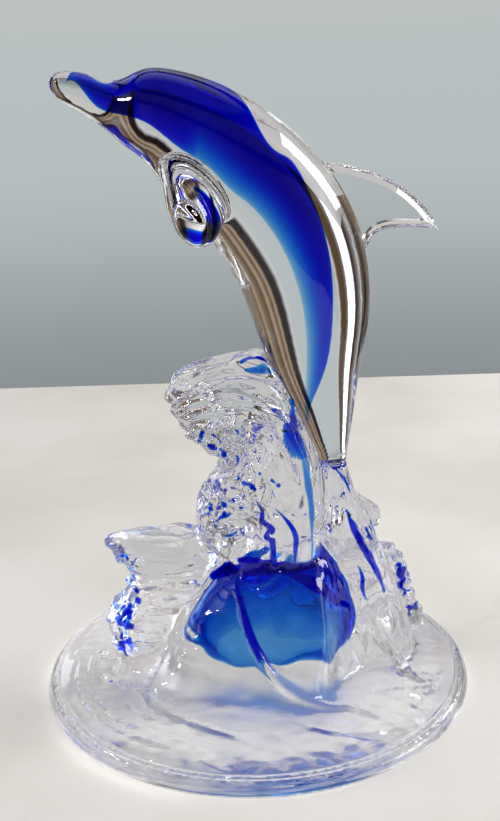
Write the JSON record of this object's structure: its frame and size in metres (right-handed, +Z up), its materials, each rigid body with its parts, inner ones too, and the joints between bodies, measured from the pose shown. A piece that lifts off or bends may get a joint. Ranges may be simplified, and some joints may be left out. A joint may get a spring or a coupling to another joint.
{
  "type": "cased crystal glass figurine",
  "caption": "Clear crystal dolphin with a cobalt blue core, leaping from cast glass waves fused to a round foot. Rests on its flat underside.",
  "frame": {"origin": "centre of the ground underside of the round foot", "axes": "+Z up out of the foot; the dolphin's beak points to -X and its dorsal fin to +X; its right flank faces -Y"},
  "size_m": [0.1394, 0.1394, 0.1976],
  "materials": {
    "wave_crystal": "clear cast crystal, fire polished, with ripples and pressed texture",
    "dolphin_crystal": "clear crystal, smooth and fire polished",
    "cobalt_core": "transparent cobalt blue glass, cased in clear crystal",
    "clear_adhesive": "clear cured adhesive film between two ground faces"
  },
  "bodies": {
    "root": {"round_foot": "wave_crystal", "swell": "wave_crystal", "blue_swell_core": "cobalt_core", "left_breaker": "wave_crystal", "right_breaker": "wave_crystal", "back_breaker": "wave_crystal", "lower_curl": "wave_crystal", "upper_crest": "wave_crystal", "tail_column": "wave_crystal", "splash": "wave_crystal", "bond_film": "clear_adhesive", "dolphin_body": "dolphin_crystal", "blue_dolphin_core": "cobalt_core", "dorsal_fin": "dolphin_crystal", "right_flipper": "dolphin_crystal", "left_flipper": "dolphin_crystal"}
  },
  "joints": []
}
